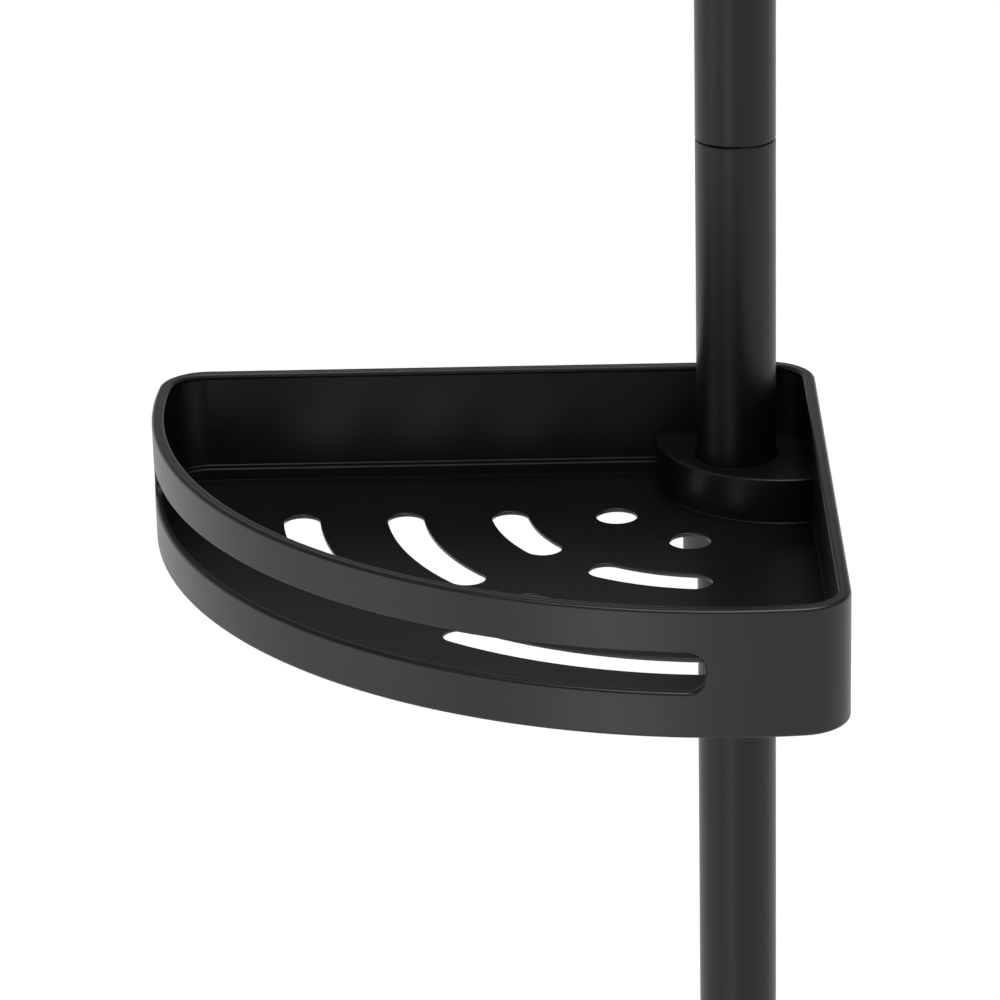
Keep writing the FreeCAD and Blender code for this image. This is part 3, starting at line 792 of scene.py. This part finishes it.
# %% Carry the section along the outline
TRAY_WALL = 2.5 * MM
RIM_WIDTH = 3.9 * MM
RIM_DEPTH = 1.6 * MM
RIM_DIP = 0.14 * MM
FLOOR_TOP = 2.7 * MM
FLOOR_UNDERSIDE = 1.4 * MM
STEP_TOP = 7.6 * MM
STEP_FOOT = 6.4 * MM
STEP_INSET = 2.9 * MM
PLINTH_INSET = 3.4 * MM
CAP_INSET = 11 * MM

WALL_SECTION = np.array([
    (CAP_INSET, FLOOR_UNDERSIDE, 0),
    (TRAY_WALL, FLOOR_UNDERSIDE, 0.15 * MM),
    (TRAY_WALL, 0, 0.3 * MM),
    (0, 0, 1.1 * MM),
    (0, TRAY_HEIGHT, 1.1 * MM),
    (RIM_WIDTH / 2, TRAY_HEIGHT - RIM_DIP, 3 * MM),
    (RIM_WIDTH, TRAY_HEIGHT, 0.9 * MM),
    (RIM_WIDTH, TRAY_HEIGHT - RIM_DEPTH, 0.4 * MM),
    (TRAY_WALL, TRAY_HEIGHT - RIM_DEPTH, 0.95 * MM),
    (TRAY_WALL, STEP_TOP, 0.16 * MM),
    (STEP_INSET, STEP_TOP, 0.2 * MM),
    (STEP_INSET, STEP_FOOT, 0.2 * MM),
    (PLINTH_INSET, STEP_FOOT, 0.25 * MM),
    (PLINTH_INSET, FLOOR_TOP, 0.05 * MM),
    (CAP_INSET, FLOOR_TOP, 0),
])


def tray_shell():
    """The wall section at every outline point: outline - inset * outward, at each height. The
    first and last rows, under and over the floor, are closed by one flat face each."""
    section = rounded(WALL_SECTION)
    inset, height = section[:, 0], section[:, 1]
    plan = OUTLINE[None] - inset[:, None, None] * OUTWARD[None]
    tall = np.broadcast_to(height[:, None, None], plan.shape[:2] + (1,))
    return solid("tray_shell", np.concatenate([plan, tall], -1), capped(*plan.shape[:2]))


shell = tray_shell()
print("tray shell:", len(shell.polygons), "faces,", open_edges(shell), "open edges")

# %% [markdown]
# ### Openings with soft lips
#
# The front has one long slot, and the floor has drain holes that run in arcs round the corner.
# All of them have rounded lips, and a cut with a straight-sided tool would leave them sharp. So
# each tool is shaped like the opening's own inside: narrow in the middle of the wall, and
# flaring through a quarter round towards each face. One function draws every tool: a line of
# centres, a direction out of the opening at each, and a way to place the result on the wall.

# %% A tool that flares towards both faces
LIP_STEPS = 5
LIP_LAST_ANGLE = math.radians(76)
LIP_RUN_OUT = 0.2
TOOL_OVERRUN = 1.5 * MM


def lip_rows(radius):
    """Rows (depth, spread) from outside a face to where its lip ends. On the quarter round the
    depth is radius (1 - sin a) and the spread radius (1 - cos a), with a falling to 0. Outside
    the face the last slope runs on a little, and then straight out."""
    a = np.linspace(LIP_LAST_ANGLE, 0, LIP_STEPS)
    depth = radius * (1 - np.sin(a))
    spread = radius * (1 - np.cos(a))
    run = LIP_RUN_OUT * radius
    wide = spread[0] + (depth[0] + run) * math.tan(LIP_LAST_ANGLE)
    depth = np.concatenate([[-TOOL_OVERRUN, -run], depth])
    return depth, np.concatenate([[wide, wide], spread])


def opening_tool(centres, out, width, thickness, lips, place):
    """A tool whose outline is centres + (width + spread) * out at each depth through a wall.
    The outline's first half runs along one side and its second half comes back along the
    other, so each end is closed by a strip of faces from side to side."""
    depth, spread = lip_rows(lips[0])
    far_depth, far_spread = lip_rows(lips[1])
    depth = np.concatenate([depth, thickness - far_depth[::-1]])
    spread = np.concatenate([spread, far_spread[::-1]])
    flat = centres[None] + (width + spread[:, None, None]) * out[None]
    points = place(flat[..., 0], flat[..., 1], depth[:, None])
    rows, columns = flat.shape[:2]
    faces = quads(rows, columns)
    for first in (0, (rows - 1) * columns):
        here = first + np.arange(columns // 2 - 1)
        across = first + columns - 1 - np.arange(columns // 2 - 1)
        faces += np.stack([here, here + 1, across - 1, across], -1).tolist()
    return solid("opening_tool", points, faces)


def both_sides(centres, out, far_centres, far_out):
    """One closed outline from its two sides, each given from the same end."""
    return np.concatenate([centres, far_centres[::-1]]), np.concatenate([out, far_out[::-1]])


# %% The slot through the front
SLOT_BOTTOM = 14.0 * MM
SLOT_TOP = 25.7 * MM
SLOT_CORNER = 5.5 * MM
SLOT_HALF_ANGLE = math.radians(41.4)
SLOT_LIPS = (1.15 * MM, 0.7 * MM)
SLOT_STEPS = 100


def front_slot():
    """The slot is drawn flat, its length along u and its height along v, and then bent round the
    front: angle = diagonal + u / front radius, radius = front radius - depth."""
    length = FRONT_RADIUS * SLOT_HALF_ANGLE - SLOT_CORNER
    tall = (SLOT_TOP - SLOT_BOTTOM) / 2 - SLOT_CORNER
    turn = np.linspace(np.pi, np.pi / 2, CORNER_STEPS)
    angle = np.concatenate([turn, np.full(SLOT_STEPS - 1, np.pi / 2), np.pi - turn[::-1]])
    u = np.concatenate([np.full(CORNER_STEPS, -length),
                        np.linspace(-length, length, SLOT_STEPS + 1)[1:-1],
                        np.full(CORNER_STEPS, length)])
    centres = np.stack([u, np.full(len(u), tall)], -1)
    out = heading(angle)
    flip = np.array([1, -1])
    centres, out = both_sides(centres, out, centres * flip, out * flip)

    def bent(along, up, depth):
        angle = DIAGONAL + along / FRONT_RADIUS
        radius = FRONT_RADIUS - depth
        x = ARC_CENTRE + radius * np.cos(angle)
        y = ARC_CENTRE + radius * np.sin(angle)
        return np.stack([x, y, up + (SLOT_TOP + SLOT_BOTTOM) / 2 + 0 * depth], -1)

    return opening_tool(centres, out, SLOT_CORNER, TRAY_WALL, SLOT_LIPS, bent)


# %% The drain openings
DRAIN_HALF_WIDTH = 5.7 * MM
DRAIN_HOLE_RADIUS = 6.4 * MM
DRAIN_FIRST_RADIUS = 35.0 * MM
DRAIN_ROW_PITCH = 32.5 * MM
DRAIN_ROWS = 4
DRAIN_SIDE_LINE = 16.0 * MM
DRAIN_RIB_HALF = 13.7 * MM
DRAIN_OUTER_RIB_HALF = 17.2 * MM
DRAIN_LIPS = (0.4 * MM, 0.25 * MM)
DRAIN_STEPS = 28


def drain(radius, first, last, half_width):
    """A curved slot with round ends. Its centres lie on an arc about the front's centre, and its
    directions point out of the arc on one side, into it on the other, and turn at the ends."""
    quarter = np.linspace(-np.pi / 2, 0, CORNER_STEPS)
    middle = np.linspace(first, last, DRAIN_STEPS)[1:-1] if last > first else np.empty(0)
    at = np.concatenate([np.full(CORNER_STEPS, first), middle, np.full(CORNER_STEPS, last)])
    turn = np.concatenate([first + quarter, middle, last - quarter[::-1]])
    back = np.concatenate([first - np.pi - quarter, middle - np.pi, last + np.pi + quarter[::-1]])
    centres = ARC_CENTRE + radius * heading(at)
    centres, out = both_sides(centres, heading(turn), centres, heading(back))

    def laid(x, y, depth):
        return np.stack([x, y, FLOOR_TOP - depth + 0 * x], -1)

    thickness = FLOOR_TOP - FLOOR_UNDERSIDE
    return opening_tool(centres, out, half_width, thickness, DRAIN_LIPS, laid)


def drains():
    """Four rows of openings about the front's centre, and the same across the diagonal."""
    tools = []
    for row in range(DRAIN_ROWS):
        radius = DRAIN_FIRST_RADIUS + row * DRAIN_ROW_PITCH
        side = math.pi + math.asin((DRAIN_SIDE_LINE + ARC_CENTRE) / radius)
        rib = DRAIN_OUTER_RIB_HALF if row == DRAIN_ROWS - 1 else DRAIN_RIB_HALF
        inner = side if row == 0 else DIAGONAL - math.asin(rib / radius)
        half_width = DRAIN_HOLE_RADIUS if row == 0 else DRAIN_HALF_WIDTH
        tools.append(drain(radius, side, inner, half_width))
        tools.append(drain(radius, 2 * DIAGONAL - inner, 2 * DIAGONAL - side, half_width))
    return tools


openings = [front_slot(), *drains()]
print(len(openings), "opening tools,", sum(open_edges(tool) for tool in openings), "open edges")

# %% [markdown]
# ### The boss in the corner
#
# The pole passes through a raised boss in the tray's corner. Its top edge and its foot are
# softened. Underneath it is cored out, as thick plastic would sink while it cooled: a hub with a
# tapered socket is left in the middle for the sleeve, tied to the boss by four ribs.

# %% Boss, cored pocket and tapered socket
BOSS_RADIUS = 40 * MM
BOSS_CENTRE = 15 * MM
BOSS_TOP = 17.1 * MM
BOSS_WALL = 2.5 * MM
BOSS_EDGE_ROUND = 0.6 * MM
BOSS_FOOT_ROUND = 0.3 * MM
POLE_HOLE_LIP = 0.3 * MM
BOSS_IN_WALL = 1.25 * MM
BOSS_STEPS = 56
HUB_RADIUS = 18.08 * MM
HUB_RIB_HALF = 1.0 * MM
HUB_RIB_ANGLES = (math.radians(45), math.radians(135))
POLE_HOLE = 13.0 * MM
SOCKET_MOUTH = 15.27 * MM
SOCKET_END = 14.02 * MM
ROOF = BOSS_TOP - BOSS_WALL


def boss_outline(inset, in_wall):
    """The boss's big arc, moved in by an inset, from where it meets one wall line to the other,
    and then round the tray's back corner."""
    line = WALL_FACE - in_wall
    radius = BOSS_RADIUS - inset
    lift = math.asin((line - BOSS_CENTRE) / radius)
    back = WALL_FACE - BACK_CORNER
    first, last = math.pi - lift, 1.5 * math.pi + lift
    arc = arc_of((BOSS_CENTRE, BOSS_CENTRE), radius, first, last, BOSS_STEPS)
    corner = arc_of((back, back), BACK_CORNER - in_wall, 0, math.pi / 2, CORNER_STEPS)
    return np.concatenate([arc[0], corner[0]])


def stacked(name, layers):
    """A closed stack of plan outlines, each with its height."""
    rings = [np.column_stack([plan, np.full(len(plan), height)]) for plan, height in layers]
    return solid(name, np.stack(rings), capped(len(rings), len(rings[0])))


def boss_body():
    """The boss from inside the floor's thickness to its top, with a soft foot and top edge."""
    buried = (FLOOR_TOP + FLOOR_UNDERSIDE) / 2
    side = rounded([(-BOSS_FOOT_ROUND, FLOOR_TOP, 0),
                    (0, FLOOR_TOP + BOSS_FOOT_ROUND / 4, BOSS_FOOT_ROUND),
                    (0, BOSS_TOP, BOSS_EDGE_ROUND), (2 * BOSS_EDGE_ROUND, BOSS_TOP, 0)])
    layers = [(boss_outline(-BOSS_FOOT_ROUND, BOSS_IN_WALL), buried)]
    layers += [(boss_outline(inset, BOSS_IN_WALL), height) for inset, height in side]
    return stacked("boss", layers)


def box_tool(length, half_width, foot, top, angle):
    """A bar through the pole's axis, turned to an angle."""
    corners = np.array([(-length, -half_width), (length, -half_width), (length, half_width),
                        (-length, half_width)])
    turn = np.array([[math.cos(angle), math.sin(angle)], [-math.sin(angle), math.cos(angle)]])
    plan = corners @ turn
    return stacked("bar", [(plan, foot), (plan, top)])


def pocket_tool():
    """The space under the boss, less the hub and its ribs."""
    plan = boss_outline(BOSS_WALL, BOSS_IN_WALL + BOSS_WALL)
    pocket = stacked("pocket", [(plan, -TOOL_OVERRUN), (plan, ROOF)])
    foot, top = -2 * TOOL_OVERRUN, ROOF + TOOL_OVERRUN
    hub = turned("hub", [0, HUB_RADIUS, HUB_RADIUS, 0], [foot, foot, top, top])
    ribs = [box_tool(2 * BOSS_RADIUS, HUB_RIB_HALF, foot, top, angle) for angle in HUB_RIB_ANGLES]
    return combined(pocket, [hub, *ribs], "DIFFERENCE")


def socket_tool():
    """The tapered socket from below and the pole's hole through the roof, with a soft lip."""
    depth, spread = lip_rows(POLE_HOLE_LIP)
    slope = (SOCKET_MOUTH - SOCKET_END) / (ROOF - FLOOR_UNDERSIDE)
    mouth = SOCKET_MOUTH + slope * (FLOOR_UNDERSIDE + TOOL_OVERRUN)
    radius = [0, mouth, SOCKET_END, POLE_HOLE, *(POLE_HOLE + spread[::-1]), 0]
    height = [-TOOL_OVERRUN, -TOOL_OVERRUN, ROOF, ROOF, *(BOSS_TOP - depth[::-1]),
              BOSS_TOP + TOOL_OVERRUN]
    return turned("socket", radius, height)


# %% Join, cut and place the trays
tray_mesh = combined(shell, [boss_body()], "UNION")
tray_mesh = combined(tray_mesh, [*openings, pocket_tool(), socket_tool()], "DIFFERENCE")
print("tray:", len(tray_mesh.polygons), "faces,", open_edges(tray_mesh), "open edges")

TRAYS = ("tray_1", "tray_2", "tray_3")
for node in TRAYS:
    moulding = tray_mesh.copy()
    moulding.transform(Matrix.Translation((0, 0, low(node))))
    stands_for(node, moulding, TRAY_FINISH, "moulded")

# %% [markdown]
# ## The split sleeves
#
# Each tray is wedged on a sleeve that clips round the pole: a collar under the tray and a cone
# inside the tray's socket. The sleeve is in two halves, so that it can be fitted anywhere, with
# two pegs on one half that find holes in the other. A half is a turned section again, but each
# point stops where it meets the flat split face, at an angle that depends on its radius.

# %% Sleeve halves
SLEEVE_BORE = 12.58 * MM
SLEEVE_COLLAR = 17.0 * MM
SLEEVE_SHOULDER = 21.1 * MM
SLEEVE_CONE_FOOT = 15.2 * MM
SLEEVE_CONE_TIP = 14.0 * MM
SLEEVE_HALF_GAP = 0.3 * MM
SLEEVE_COLUMNS = 64
PEG_RADIUS = 1.1 * MM
PEG_LENGTH = 3.0 * MM
PEG_WITH_ROOT = 1.5 * PEG_LENGTH
PEG_HOLE_DEPTH = 1.2 * PEG_LENGTH
PEG_HOLE_GAP = 0.05 * MM
PEG_COLUMNS = 24


def sleeve_section(height):
    """The collar, the cone and the bore, as a closed outline standing on 0. Each corner is a
    radius, a height and a round."""
    return rounded([
        (SLEEVE_BORE, 0, 0.4 * MM),
        (SLEEVE_COLLAR, 0, 1.2 * MM),
        (SLEEVE_COLLAR, SLEEVE_SHOULDER, 0.4 * MM),
        (SLEEVE_CONE_FOOT, SLEEVE_SHOULDER, 0.3 * MM),
        (SLEEVE_CONE_TIP, height, 0.5 * MM),
        (SLEEVE_BORE, height, 0.3 * MM),
    ], closed=True)


def peg(radius, length, start, y, z):
    """A short pin along +X from a starting x, with a round nose."""
    corners = [(0, 0, 0), (radius, 0, 0), (radius, length, radius / 3), (0, length, 0)]
    pin = turned_outline("peg", corners, columns=PEG_COLUMNS)
    pin.transform(Matrix.Translation((start, y, z)) @ Matrix.Rotation(math.pi / 2, 4, "Y"))
    return pin


def sleeve_half(node, side):
    """The section swept from -end to end about the half's middle, where the end angle puts each
    point on the split face: cos(end) = half gap / radius. The pegs are added or cut."""
    foot = low(node)
    section = sleeve_section(high(node) - foot)
    radius = section[:, 0]
    end = np.arccos(SLEEVE_HALF_GAP / radius)
    angle = end[:, None] * np.linspace(-1, 1, SLEEVE_COLUMNS)[None, :]
    x = side * radius[:, None] * np.cos(angle)
    y = radius[:, None] * np.sin(angle)
    z = foot + np.broadcast_to(section[:, 1:], x.shape)
    rows = len(section)
    faces = quads(rows, SLEEVE_COLUMNS, wrap_rows=True, wrap_columns=False)
    faces.append([row * SLEEVE_COLUMNS for row in range(rows)])
    faces.append([row * SLEEVE_COLUMNS + SLEEVE_COLUMNS - 1 for row in range(rows)])
    half = solid(node, np.stack([x, y, z], -1), faces)
    peg_y = (SLEEVE_BORE + SLEEVE_COLLAR) / 2
    peg_z = foot + SLEEVE_SHOULDER / 2
    if side < 0:
        root = -SLEEVE_HALF_GAP - PEG_LENGTH / 2
        pins = [peg(PEG_RADIUS, PEG_WITH_ROOT, root, y, peg_z) for y in (-peg_y, peg_y)]
        return combined(half, pins, "UNION")
    holes = [peg(PEG_RADIUS + PEG_HOLE_GAP, PEG_HOLE_DEPTH, -SLEEVE_HALF_GAP, y, peg_z)
             for y in (-peg_y, peg_y)]
    return combined(half, holes, "DIFFERENCE")


for number in range(1, len(TRAYS) + 1):
    for hand, side in (("left", -1), ("right", 1)):
        node = "sleeve_%d_%s" % (number, hand)
        stands_for(node, sleeve_half(node, side), SLEEVE_FINISH, "moulded")

# %% [markdown]
# ## Floor, light and camera
#
# A product like this is shown on seamless white. The floor is large enough to fill the view in
# every direction. Black satin plastic has almost no colour of its own, so what shows its shape is
# what it reflects. Seen from above, upright walls mirror what lies below them: the white floor,
# and two soft panels that stand low in front and on the left, and draw a pale band down the pole
# and along the trays' fronts. Level faces mirror the sky, which is white at the horizon and a
# dull grey above, so that the inside of a tray stays dark. A wide light overhead fills the floor.

# %% A pale floor
FLOOR_HALF = 60.0
FLOOR_DROP = 0.2 * MM
FLOOR_COLOUR = (0.93, 0.93, 0.93, 1)
FLOOR_ROUGHNESS = 0.9


def pale_floor():
    """A large flat square just under the pad, in a plain pale finish."""
    corners = np.array([(-1, -1, 0), (1, -1, 0), (1, 1, 0), (-1, 1, 0)], float) * FLOOR_HALF
    corners[:, 2] = low("floor_pad") - FLOOR_DROP
    mesh = bpy.data.meshes.new("pale_floor")
    mesh.from_pydata(corners.tolist(), [], [[0, 1, 2, 3]])
    paint = bpy.data.materials.new("pale_floor")
    paint.use_nodes = True
    shader = paint.node_tree.nodes["Principled BSDF"]
    shader.inputs["Base Color"].default_value = FLOOR_COLOUR
    shader.inputs["Roughness"].default_value = FLOOR_ROUGHNESS
    shader.inputs["Specular IOR Level"].default_value = 0.0
    mesh.materials.append(paint)
    linked("pale_floor", mesh)


pale_floor()

# %% White horizon, grey sky and soft lights
HORIZON_LIGHT = 1.0
SKY_LIGHT = 0.22
SKY_FADE = (0.10, 0.30)
AIM = (-0.05, -0.05, low("tray_2"))


def studio_sky():
    """Light that is white at the horizon and fades to grey by the sine of the height above it."""
    world = bpy.data.worlds.new("studio_sky")
    world.use_nodes = True
    nodes, links = world.node_tree.nodes, world.node_tree.links
    direction = nodes.new("ShaderNodeTexCoord")
    split = nodes.new("ShaderNodeSeparateXYZ")
    fade = nodes.new("ShaderNodeMapRange")
    fade.interpolation_type = "SMOOTHSTEP"
    for name, value in (("From Min", SKY_FADE[0]), ("From Max", SKY_FADE[1]),
                        ("To Min", HORIZON_LIGHT), ("To Max", SKY_LIGHT)):
        fade.inputs[name].default_value = value
    links.new(direction.outputs["Generated"], split.inputs[0])
    links.new(split.outputs["Z"], fade.inputs["Value"])
    links.new(fade.outputs["Result"], nodes["Background"].inputs["Strength"])
    nodes["Background"].inputs["Color"].default_value = (1, 1, 1, 1)
    bpy.context.scene.world = world
    bpy.context.scene.view_settings.view_transform = "Standard"


def overhead(strength, spread, tilt):
    """A very soft light from above, as from a large diffuser that spans this many degrees."""
    light = bpy.data.lights.new("overhead", "SUN")
    light.energy = strength
    light.angle = math.radians(spread)
    linked("overhead", light).rotation_euler = tilt


def soft_panel(name, place, width, height, power):
    """A rectangular light at a place, turned to face the middle tray."""
    light = bpy.data.lights.new(name, "AREA")
    light.shape = "RECTANGLE"
    light.size = width
    light.size_y = height
    light.energy = power
    panel = linked(name, light)
    panel.location = place
    panel.rotation_euler = (Vector(AIM) - Vector(place)).to_track_quat("-Z", "Y").to_euler()
    panel.visible_camera = False


studio_sky()
overhead(strength=2.7, spread=50, tilt=(math.radians(8), math.radians(6), 0))
soft_panel("left_panel", place=(-2.2, -0.9, AIM[2] - 0.1), width=1.0, height=1.8, power=4)
soft_panel("front_panel", place=(-0.55, -1.35, AIM[2] - 0.45), width=0.5, height=0.9, power=2.0)
print("sky, overhead light and two soft panels that face", [round(v, 3) for v in AIM])

# %% [markdown]
# ## The camera
#
# The camera looks slightly down on the middle tray with a long lens, which keeps the pole's
# sides parallel. It is placed from the tray's lower edge, so it follows the tray if the pole's
# lengths change.

# %% Place the camera
CAMERA_PLACE = (-58.3 * MM, -1402.6 * MM, 545.5 * MM)
CAMERA_YAW = math.radians(-0.68)
CAMERA_PITCH = math.radians(21.16)
CAMERA_ROLL = math.radians(-1.29)
CAMERA_LENS = 170.8
CAMERA_REACH = 200.0


def product_camera():
    """A camera turned from looking along +Y: down by the pitch, right by the yaw, then rolled."""
    data = bpy.data.cameras.new("camera")
    data.lens = CAMERA_LENS
    data.clip_end = CAMERA_REACH
    camera = linked("camera", data)
    turn = Matrix.Rotation(-CAMERA_YAW, 4, "Z")
    turn = turn @ Matrix.Rotation(math.pi / 2 - CAMERA_PITCH, 4, "X")
    turn = turn @ Matrix.Rotation(CAMERA_ROLL, 4, "Z")
    place = Vector(CAMERA_PLACE) + Vector((0, 0, low("tray_2")))
    camera.matrix_world = Matrix.Translation(place) @ turn
    bpy.context.scene.camera = camera


product_camera()
